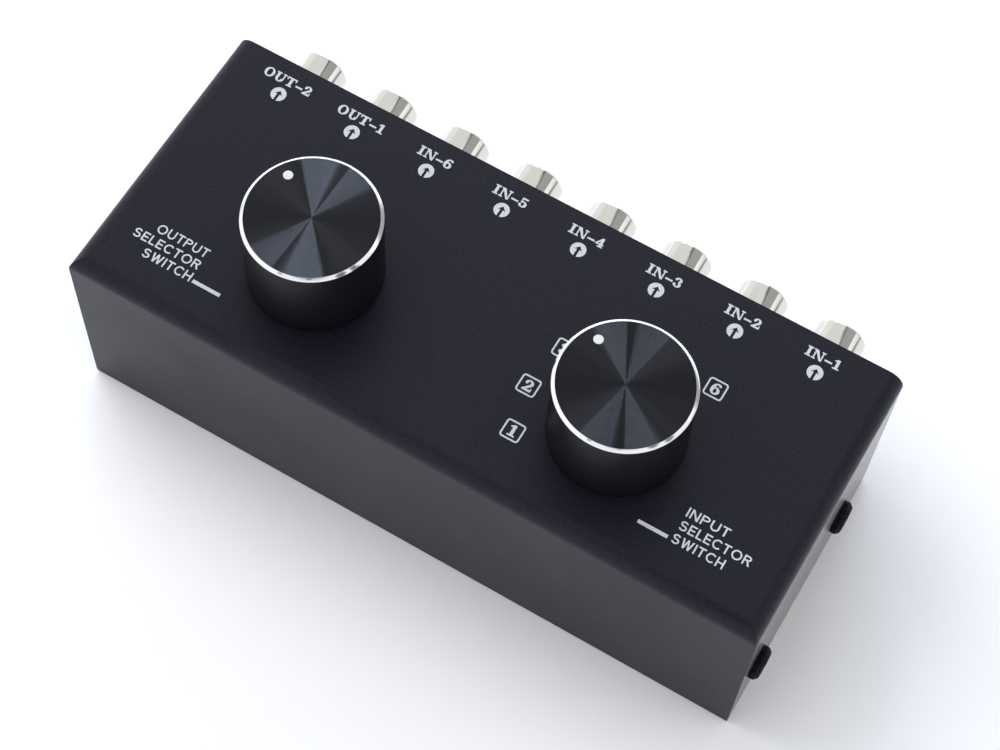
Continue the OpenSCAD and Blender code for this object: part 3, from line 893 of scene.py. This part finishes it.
def crossCutter(spec):
    bm = bmesh.new()
    top = spec["headHeight"] * mm + spec["cutOver"] * mm
    floor = (spec["headHeight"] - spec["recessDepth"]) * mm
    loops = []
    for z, width, reach in ((floor, spec["slotNarrow"], spec["recessFoot"]), (top, spec["slotWide"], 1.0)):
        long = spec["recess"] / 2 * reach * mm
        thin = width / 2 * mm
        arm = [Vector((long, -thin, z)), Vector((long, thin, z)), Vector((thin, thin, z))]
        turns = [Matrix.Rotation(q * math.pi / 2, 3, "Z") for q in range(4)]
        loops.append([bm.verts.new(turn @ corner) for turn in turns for corner in arm])
    bridge(bm, *loops)
    for loop in loops:
        bm.faces.new(loop)
    bmesh.ops.recalc_face_normals(bm, faces=bm.faces)
    return linkPiece("cross", meshOf(bm, "cross"))


def makeScrews(spec):
    shank = spec["shank"] / 2 * mm
    head = spec["head"] / 2 * mm
    rise = spec["headHeight"] * mm
    tip = -spec["length"] * mm
    tipSoft, seatSoft, rimSoft, crownSoft = [
        spec[place + "Soft"] * mm for place in ("tip", "seat", "rim", "crown")]
    outline = [
        (0, tip, 0, 0), (shank, tip, tipSoft, 0), (shank, 0, 0, 0), (head, 0, seatSoft, 0),
        (head, spec["rim"] * mm, rimSoft, 0),
        (head * spec["flat"], rise * spec["flatHeight"], crownSoft, 0), (0, rise, 0, 0),
    ]
    blank = linkPiece("blank", lathe("blank", outline, [finishes["black_screw"]], turns=64, steps=6))
    combine(blank, crossCutter(spec), "DIFFERENCE")
    easeEdges(blank, spec["cutSoft"], angle=40)
    part = blank.data
    bpy.data.objects.remove(blank)
    places = [m.translation for m in screwPlaces()]
    screws = layOut("caseScrews", ends, part, Left=places[0], Right=places[2], Step=places[1] - places[0],
                    Finish=finishes["black_screw"])
    dress(screws, "case", "black_screw", "end_screws")


makeScrews(screw)
print("screws made")


# printed marks: thin white ink on the cover

ink = {
    "rise": 0.03,          # mm above the coat
    "sink": 0.01,
    "nameTall": 1.78,      # letter heights, mm
    "numberTall": 2.0,
    "wordTall": 1.65,
    "slabGap": 0.1,        # between letters, in units of their height
    "plainGap": 0.165,
    "wordLine": 2.4,       # from one line of words to the next, mm
    "wordsWide": {"output": (9.4, 12.3, 9.0), "input": (7.1, 12.0, 8.7)},
    "rowStep": (14.02, 0.03),
    "nameAt": (-49.6, 21.35),   # places on the cover, mm
    "arrowAt": (-49.6, 18.4),
    "arrowDisc": 2.62,
    "arrowTail": 0.18,     # the cut-out arrow, in units of the disc's radius
    "arrowBarb": 0.54,
    "arrowNeck": 0.04,
    "arrowDroop": 0.1,
    "arrowTip": 0.54,
    "box": 3.3,
    "boxCorner": 0.55,
    "boxLine": 0.28,
    "numbersAt": [(13.4, -14.1), (11.65, -6.25), (13.3, 2.0), (19.0, 8.2), (27.5, 10.4), (36.65, 8.15)],
    "outputWords": (-42.9, -12.45),
    "inputWords": (42.6, -12.1),
    "outputLine": (-39.9, -17.65),
    "inputLine": (39.4, -17.25),
    "lineLength": 5.1,
    "lineWidth": 0.62,
}


def inkRing(bm, points, level):
    z = caseTop + level * mm
    return [bm.verts.new((x * mm, y * mm, z)) for x, y in points]


def inkMesh(bm, name):
    bmesh.ops.recalc_face_normals(bm, faces=bm.faces)
    return meshOf(bm, name, sharpAngle=30)


def flatShape(points, spec):
    bm = bmesh.new()
    under, over = [inkRing(bm, points, level) for level in (-spec["sink"], spec["rise"])]
    bridge(bm, under, over)
    for corners in tessellate_polygon([[Vector((x, y, 0)) for x, y in points]]):
        bm.faces.new([under[k] for k in corners])
        bm.faces.new([over[k] for k in reversed(corners)])
    return inkMesh(bm, "inkShape")


def roundedBox(width, corner, steps=5):
    points = []
    half = width / 2 - corner
    for quarter in range(4):
        cx = half if quarter in (0, 3) else -half
        cy = half if quarter in (0, 1) else -half
        angles = [math.pi / 2 * (quarter + k / steps) for k in range(steps + 1)]
        points += arc((cx, cy), (corner, corner), angles)
    return points


def boxFrame(spec):
    bm = bmesh.new()
    outer = roundedBox(spec["box"], spec["boxCorner"])
    inner = roundedBox(spec["box"] - 2 * spec["boxLine"], spec["boxCorner"] - spec["boxLine"])
    low, high = -spec["sink"], spec["rise"]
    loops = [inkRing(bm, *ring) for ring in ((outer, low), (outer, high), (inner, high), (inner, low))]
    for ring, following in zip(loops, loops[1:] + loops[:1]):
        bridge(bm, ring, following)
    return inkMesh(bm, "boxFrame")


def arrowDisc(spec, steps=48):
    radius = spec["arrowDisc"] / 2
    tail, barb, neck, droop, tip = [
        radius * spec["arrow" + place] for place in ("Tail", "Barb", "Neck", "Droop", "Tip")]
    start = math.asin(tail / radius) - math.pi / 2
    sweep = 2 * math.pi - 2 * math.asin(tail / radius)
    points = arc((0, 0), (radius, radius), [start + sweep * k / steps for k in range(steps + 1)])
    points += [(-tail, neck), (-barb, neck - droop), (0, tip), (barb, neck - droop), (tail, neck)]
    return flatShape(points, spec)


# two letter faces, drawn in units of the letters' height: slab for jacks and dial, plain for words

slabWeight = (0.26, 0.13)   # upright and level strokes
pen = 0.155                 # every stroke of a plain letter


def bar(x0, y0, x1, y1):
    return [(x0, y0), (x1, y0), (x1, y1), (x0, y1)]


def bow(middle, reach, start, end, weight=slabWeight, steps=14):
    angles = [math.radians(start + (end - start) * k / steps) for k in range(steps + 1)]
    hollow = (reach[0] - weight[0], reach[1] - weight[1])
    return arc(middle, reach, angles) + arc(middle, hollow, angles)[::-1]


def plainBow(middle, reach, start, end):
    return bow(middle, reach, start, end, (pen, pen))


def ball(x, y, radius=0.12, steps=12):
    return arc((x, y), (radius, radius), fullTurn(steps))


slabLetters = {  # width, then the strokes that overlap to make the letter
    "I": (0.53, bar(0, 0, 0.53, 0.13), bar(0, 0.87, 0.53, 1), bar(0.13, 0.05, 0.40, 0.95)),
    "N": (1.10, bar(0, 0, 0.37, 0.13), bar(0, 0.87, 0.37, 1), bar(0.12, 0.05, 0.25, 0.95),
          bar(0.73, 0.87, 1.1, 1), bar(0.85, 0, 0.98, 0.95),
          [(0.06, 0.99), (0.38, 0.99), (0.97, 0.01), (0.76, 0.01)]),
    "O": (1.00, bow((0.5, 0.5), (0.5, 0.52), 0, 190), bow((0.5, 0.5), (0.5, 0.52), 180, 370)),
    "T": (1.00, bar(0, 0.86, 1, 1), bar(0, 0.68, 0.12, 0.95), bar(0.88, 0.68, 1, 0.95),
          bar(0.365, 0.05, 0.635, 0.95), bar(0.22, 0, 0.78, 0.13)),
    "U": (1.05, bar(0, 0.87, 0.5, 1), bar(0.12, 0.33, 0.38, 0.95), bar(0.68, 0.87, 1.05, 1),
          bar(0.80, 0.33, 0.93, 0.95), bow((0.525, 0.37), (0.405, 0.39), 180, 360)),
    "-": (0.72, bar(0, 0.28, 0.72, 0.46)),
    "1": (0.66, bar(0.04, 0, 0.66, 0.13), bar(0.22, 0.05, 0.49, 1),
          [(0.02, 0.74), (0.3, 0.80), (0.3, 0.99), (0.02, 0.86)]),
    "2": (0.78, bow((0.38, 0.69), (0.36, 0.31), -40, 165), ball(0.14, 0.70), bar(0, 0, 0.77, 0.18),
          bar(0.66, 0.1, 0.77, 0.34), [(0, 0.1), (0.25, 0.1), (0.67, 0.5), (0.46, 0.6)]),
    "3": (0.76, bow((0.36, 0.74), (0.34, 0.26), -80, 165), bow((0.36, 0.29), (0.38, 0.30), -165, 80),
          ball(0.14, 0.77), ball(0.13, 0.26)),
    "4": (0.82, bar(0.42, 0.05, 0.67, 0.98), bar(0.29, 0, 0.80, 0.13), bar(0, 0.25, 0.82, 0.38),
          [(0.46, 1), (0.67, 1), (0.17, 0.3), (0, 0.3)]),
    "5": (0.76, bar(0.10, 0.82, 0.69, 1), bar(0.10, 0.45, 0.22, 0.95),
          bow((0.35, 0.32), (0.40, 0.34), -165, 140), ball(0.13, 0.26)),
    "6": (0.78, bow((0.39, 0.32), (0.39, 0.34), 0, 190), bow((0.39, 0.32), (0.39, 0.34), 180, 370),
          bow((0.48, 0.46), (0.48, 0.55), 65, 200), ball(0.64, 0.86, 0.11)),
}
stem = bar(0, 0, pen, 1)
plainP = (stem, bar(0.08, 1 - pen, 0.37, 1), bar(0.08, 0.44, 0.37, 0.44 + pen),
          plainBow((0.36, 0.72), (0.36, 0.28), -90, 90))
plainLetters = {
    "C": (0.84, plainBow((0.47, 0.5), (0.47, 0.5), 42, 318)),
    "E": (0.64, stem, bar(0.05, 0, 0.64, pen), bar(0.05, 0.43, 0.59, 0.43 + pen),
          bar(0.05, 1 - pen, 0.63, 1)),
    "H": (0.76, stem, bar(0.76 - pen, 0, 0.76, 1), bar(0.1, 0.43, 0.66, 0.43 + pen)),
    "I": (pen, stem),
    "L": (0.58, stem, bar(0.05, 0, 0.58, pen)),
    "N": (0.78, stem, bar(0.78 - pen, 0, 0.78, 1),
          [(0.01, 0.99), (0.19, 0.99), (0.77, 0.01), (0.59, 0.01)]),
    "O": (0.98, plainBow((0.49, 0.5), (0.49, 0.51), 0, 190), plainBow((0.49, 0.5), (0.49, 0.51), 180, 370)),
    "P": (0.72, *plainP),
    "R": (0.76, *plainP, [(0.31, 0.5), (0.50, 0.5), (0.76, 0), (0.57, 0)]),
    "S": (0.74, plainBow((0.36, 0.72), (0.34, 0.28), 20, 270),
          plainBow((0.37, 0.2975), (0.37, 0.2975), -160, 90)),
    "T": (0.72, bar(0, 1 - pen, 0.72, 1), bar(0.36 - pen / 2, 0, 0.36 + pen / 2, 0.95)),
    "U": (0.80, bar(0, 0.38, pen, 1), bar(0.8 - pen, 0.38, 0.8, 1),
          plainBow((0.4, 0.4), (0.4, 0.4), 180, 360)),
    "W": (1.12, [(0, 1), (0.17, 1), (0.40, 0), (0.23, 0)], [(0.24, 0), (0.39, 0), (0.64, 1), (0.47, 1)],
          [(0.48, 1), (0.63, 1), (0.88, 0), (0.72, 0)], [(0.73, 0), (0.89, 0), (1.12, 1), (0.95, 1)]),
}


def letterMesh(strokes, spec):
    piece = linkPiece("letter", flatShape(strokes[0], spec))
    for stroke in strokes[1:]:
        combine(piece, linkPiece("stroke", flatShape(stroke, spec)), "UNION")
    mesh = piece.data
    bpy.data.objects.remove(piece)
    return mesh


def letterFace(letters, gap, spec):
    face = {"gap": gap}
    for sign, (width, *strokes) in letters.items():
        face[sign] = (width, letterMesh(strokes, spec))
    return face


def setWord(text, face, tall, place, align=0.5, width=None):
    natural = (sum(face[sign][0] for sign in text) + face["gap"] * (len(text) - 1)) * tall
    wide = tall * (width / natural if width else 1)
    x = place[0] - align * natural * wide / tall
    meshes = []
    for sign in text:
        mesh = face[sign][1].copy()
        spot = Matrix.Translation((x * mm, (place[1] - tall / 2) * mm, 0))
        mesh.transform(spot @ Matrix.Diagonal((wide, tall, 1, 1)))
        meshes.append(mesh)
        x += (face[sign][0] + face["gap"]) * wide
    return meshes


def inkPiece(name, meshes):
    bm = bmesh.new()
    for mesh in meshes:
        bm.from_mesh(mesh)
    bmesh.ops.remove_doubles(bm, verts=bm.verts, dist=1e-7)
    piece = linkPiece(name, inkMesh(bm, name))
    paint(piece, "print_ink")
    dress(piece, "case", "white_paint")


def printMarks(spec):
    white = finishes["print_ink"]
    slab = letterFace(slabLetters, spec["slabGap"], spec)
    plain = letterFace(plainLetters, spec["plainGap"], spec)
    stepX, stepY = spec["rowStep"]
    names = []
    for i, channel in enumerate(channels):
        kind, number = channel.split("_")
        spot = (spec["nameAt"][0] + stepX * i, spec["nameAt"][1] + stepY * i)
        names += setWord(kind.upper() + "-" + number, slab, spec["nameTall"], spot)
    inkPiece("jackNames", names)
    first = Vector((*spec["arrowAt"], 0)) * mm
    step = Vector((stepX, stepY, 0)) * mm
    arrows = layOut("jackArrows", rows, arrowDisc(spec), Count=len(channels), Start=first, Step=step,
                    Rows=1, Finish=white)
    dress(arrows, "case", "white_paint")
    boxes = layOut("dialBoxes", spots, boxFrame(spec), places=spec["numbersAt"], Finish=white)
    dress(boxes, "case", "white_paint")
    numbers = []
    for i, spot in enumerate(spec["numbersAt"]):
        numbers += setWord(str(i + 1), slab, spec["numberTall"], spot)
    inkPiece("dialNumbers", numbers)
    lines = []
    half, thick = spec["lineLength"] / 2, spec["lineWidth"] / 2
    for side, align in (("output", 1), ("input", 0)):
        x, y = spec[side + "Line"]
        lines.append(flatShape(bar(x - half, y - thick, x + half, y + thick), spec))
        for k, word in enumerate((side.upper(), "SELECTOR", "SWITCH")):
            spot = (spec[side + "Words"][0], spec[side + "Words"][1] - spec["wordLine"] * k)
            lines += setWord(word, plain, spec["wordTall"], spot, align, spec["wordsWide"][side][k])
    inkPiece("switchNames", lines)


printMarks(ink)
print("marks printed")


# floor, window light and a dim room around

room = {
    "floorSize": 6.0,            # m
    "floorColour": (0.845, 0.852, 0.885),
    "floorMottle": 0.995,        # darker specks, of that colour
    "floorGrain": 4.0,           # mm
    "floorPeel": 60.0,
    "floorRough": 0.7,
    "windowAngle": 110.3,        # degrees from +X, anticlockwise
    "windowHeight": 18.8,        # degrees above the floor
    "windowAway": 1.5,           # m
    "panes": [                   # middle and width in m, radiance, lean in degrees
        (-0.275, 0.43, 4.2, -6),
        (0.283, 0.435, 4.9, 4),
    ],
    "paneTall": 0.769,
    "windowColour": (0.74, 0.87, 1.0),
    "walls": (0.92, 0.93, 0.96),
    "patches": [                 # angle, height and spread in degrees, and the level there
        (296, 62, 30, 0.15),
        (205, 15, 60, 1.15),
        (152, 8, 24, 1.15),
        (56, 8, 27, 0.3),
        (27, 4, 10, 0.3),
        (257.5, 34.5, 3.5, 0.4),
        (296, 39.6, 3.5, 0.4),
        (338, 34.5, 8, 0.2),
        (356, 34.5, 5, 0.2),
        (357, 26.8, 7, 0.25),
    ],
    "patchFull": 0.35,           # part of a patch's spread that has its full level
    "wall": (58, 36, 30),        # degrees: the middle of the right-hand wall, its reach and its full part
    "bands": [(0, 1.4), (28, 0.5), (55, 0.15), (57, 1.05)],  # height from which a level holds
    "floorLights": [             # place in m, size in m, watts, colour
        ((-0.33, 0.06, 0.40), 0.4, 1.5, (0.98, 0.99, 1.0)),
        ((0.8, 0.1, 1.2), 1.2, 4.4, (1.0, 0.95, 0.84)),
    ],
}


def makeFloor(spec):
    bm = bmesh.new()
    bmesh.ops.create_grid(bm, x_segments=4, y_segments=4, size=spec["floorSize"] / 2)
    floor = linkPiece("floor", meshOf(bm, "floor"))
    finish, tree, shader = newFinish("paleFloor")
    grain = useGroup(tree, fineGrain, Grain_Size=spec["floorGrain"], Peel_Size=spec["floorPeel"])
    pale = spec["floorColour"]
    tones = {"dark": [c * spec["floorMottle"] for c in pale], "light": pale}
    mixColours(tree, shader, grain["Speck"], tones)
    setSockets(tree, shader, {"Roughness": spec["floorRough"]})
    floor.data.materials.append(finish)
    return floor


def lightFloor(spec, floor):
    lit = bpy.data.collections.new("floorOnly")
    lit.objects.link(floor)
    for place, size, watts, colour in spec["floorLights"]:
        data = bpy.data.lights.new("floorLight", "AREA")
        data.size = size
        data.energy = watts
        data.color = colour
        light = bpy.data.objects.new("floorLight", data)
        at = Vector(place)
        light.matrix_world = Matrix.Translation(at) @ at.to_track_quat("Z", "Y").to_matrix().to_4x4()
        light.visible_glossy = False
        light.light_linking.receiver_collection = lit  # the object keeps the light of the room and window
        scene.collection.objects.link(light)


def towards(angle, height):
    turn, rise = math.radians(angle), math.radians(height)
    return (math.cos(rise) * math.cos(turn), math.cos(rise) * math.sin(turn), math.sin(rise))


def makeWindow(spec):
    out = Vector(towards(spec["windowAngle"], spec["windowHeight"]))
    facing = out.to_track_quat("Z", "Y")
    across = facing @ Vector((1, 0, 0))
    for i, (middle, width, glow, lean) in enumerate(spec["panes"]):
        data = bpy.data.lights.new("pane" + str(i), "AREA")
        data.shape = "RECTANGLE"
        data.size, data.size_y = width, spec["paneTall"]
        data.energy = glow * math.pi * width * spec["paneTall"]
        data.color = spec["windowColour"]
        pane = bpy.data.objects.new("pane" + str(i), data)
        spot = Matrix.Translation(out * spec["windowAway"] + across * middle)
        pane.matrix_world = spot @ facing.to_matrix().to_4x4() @ Matrix.Rotation(math.radians(lean), 4, "Z")
        scene.collection.objects.link(pane)


def spotLevel(tree, source, aim, reach, full, low, high):
    near = vector(tree, "DOT_PRODUCT", source, aim, result="Value")
    span = (math.cos(math.radians(reach)), math.cos(math.radians(full)))
    level = spanOf(tree, near, span, Min=low, Max=high)
    level.interpolation_type = "SMOOTHSTEP"
    return level.outputs["Result"]


def wallBands(tree, outward, spec):
    flat = vector(tree, "NORMALIZE", vector(tree, "MULTIPLY", outward, (1, 1, 0)))
    split = addNode(tree, "ShaderNodeSeparateXYZ", {"Vector": outward})
    steps = addNode(tree, "ShaderNodeValToRGB", {"Fac": split.outputs["Z"]})
    steps.color_ramp.interpolation = "CONSTANT"
    stops = steps.color_ramp.elements
    while len(stops) < len(spec["bands"]):
        stops.new(1.0)
    for stop, (height, level) in zip(stops, spec["bands"]):
        stop.position = math.sin(math.radians(height))
        stop.color = (level, level, level, 1)
    middle, reach, full = spec["wall"]
    there = spotLevel(tree, flat, towards(middle, 0), reach, full, low=0.0, high=1.0)
    sockets = {"Factor": there, "A": 1.0, "B": steps.outputs["Color"]}
    return addNode(tree, "ShaderNodeMix", sockets, data_type="FLOAT").outputs["Result"]


def makeRoom(spec):
    world = bpy.data.worlds.new("room")
    world.use_nodes = True
    scene.world = world
    tree = world.node_tree
    outward = addNode(tree, "ShaderNodeTexCoord").outputs["Generated"]
    level = wallBands(tree, outward, spec)
    for angle, height, spread, strength in spec["patches"]:
        aim = towards(angle, height)
        full = spread * spec["patchFull"]
        patch = spotLevel(tree, outward, aim, spread, full, low=1.0, high=strength)
        level = scalar(tree, "MULTIPLY", level, patch)
    setSockets(tree, tree.nodes["Background"], {"Color": (*spec["walls"], 1), "Strength": level})


floor = makeFloor(room)
lightFloor(room, floor)
makeWindow(room)
makeRoom(room)
print("room lit")

bpy.context.view_layer.update()
